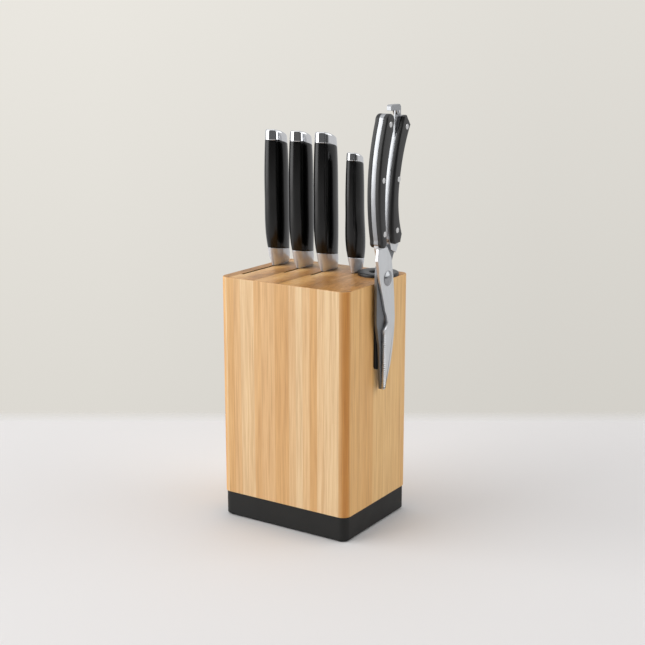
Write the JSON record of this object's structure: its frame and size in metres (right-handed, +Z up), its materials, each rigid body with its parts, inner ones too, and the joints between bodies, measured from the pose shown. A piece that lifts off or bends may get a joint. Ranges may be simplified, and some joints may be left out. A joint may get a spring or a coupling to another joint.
{
  "type": "knife block with knives",
  "caption": "Upright bamboo knife block on a black plinth, with knives in its slots and poultry shears held on its side.",
  "frame": {"origin": "centre of the resting face, under the middle of the bamboo block", "axes": "+X along the front face towards the shears, +Y from the front face to the back, +Z up"},
  "size_m": [0.1461, 0.107, 0.3775],
  "materials": {
    "bamboo": "satin lacquer",
    "black_base": "fine matt",
    "rubber_mat": "matt",
    "zinc_screws": "zinc plated",
    "black_collar": "satin",
    "magnets": "nickel plated",
    "black_pad": "matt",
    "blade_steel": "fine ground",
    "polished_steel": "polished",
    "black_grip": "semi gloss",
    "shears_steel": "satin blasted",
    "black_scales": "satin",
    "rivet_steel": "satin",
    "spring_steel": "bare",
    "latch_steel": "polished"
  },
  "bodies": {
    "block": {"left_board": "bamboo", "left_inner_board": "bamboo", "middle_board": "bamboo", "right_inner_board": "bamboo", "right_board": "bamboo", "plinth": "black_base", "non_slip_mat": "rubber_mat", "plinth_screws": "zinc_screws", "steel_collar": "black_collar", "shears_magnets": "magnets", "magnet_pad": "black_pad"},
    "chef_knife": {"chef_blade": "blade_steel", "chef_bolster": "polished_steel", "chef_grip": "black_grip", "chef_cap": "polished_steel"},
    "carving_knife": {"carving_blade": "blade_steel", "carving_bolster": "polished_steel", "carving_grip": "black_grip", "carving_cap": "polished_steel"},
    "bread_knife": {"bread_blade": "blade_steel", "bread_bolster": "polished_steel", "bread_grip": "black_grip", "bread_cap": "polished_steel"},
    "utility_knife": {"utility_blade": "blade_steel", "utility_bolster": "polished_steel", "utility_grip": "black_grip", "utility_cap": "polished_steel"},
    "shears": {"front_blade": "shears_steel", "front_outer_scale": "black_scales", "front_inner_scale": "black_scales", "front_rivets": "rivet_steel", "pivot_screw": "polished_steel", "pivot_nut": "rivet_steel", "opening_spring": "spring_steel"},
    "shears_back": {"back_blade": "shears_steel", "back_outer_scale": "black_scales", "back_inner_scale": "black_scales", "back_rivets": "rivet_steel", "latch_pin": "rivet_steel"},
    "shears_latch": {"latch": "latch_steel"}
  },
  "joints": [
    {"name": "chef_lift", "type": "slide", "parent": "block", "child": "chef_knife", "axis": [0, 0, 1], "range_m": [0, 0.2]},
    {"name": "carving_lift", "type": "slide", "parent": "block", "child": "carving_knife", "axis": [0, 0, 1], "range_m": [0, 0.2]},
    {"name": "bread_lift", "type": "slide", "parent": "block", "child": "bread_knife", "axis": [0, 0, 1], "range_m": [0, 0.2]},
    {"name": "utility_lift", "type": "slide", "parent": "block", "child": "utility_knife", "axis": [0, 0, 1], "range_m": [0, 0.136]},
    {"name": "shears_pull", "type": "slide", "parent": "block", "child": "shears", "axis": [1, 0, 0], "range_m": [0, 0.08]},
    {"name": "shears_open", "type": "hinge", "parent": "shears", "child": "shears_back", "pos_m": [0.0725, 0.0004, 0.2295], "axis": [-1, 0, 0], "range_deg": [0, 30]},
    {"name": "latch_flip", "type": "hinge", "parent": "shears_back", "child": "shears_latch", "pos_m": [0.0725, 0.0174, 0.371], "axis": [-1, 0, 0], "range_deg": [0, 60]}
  ]
}
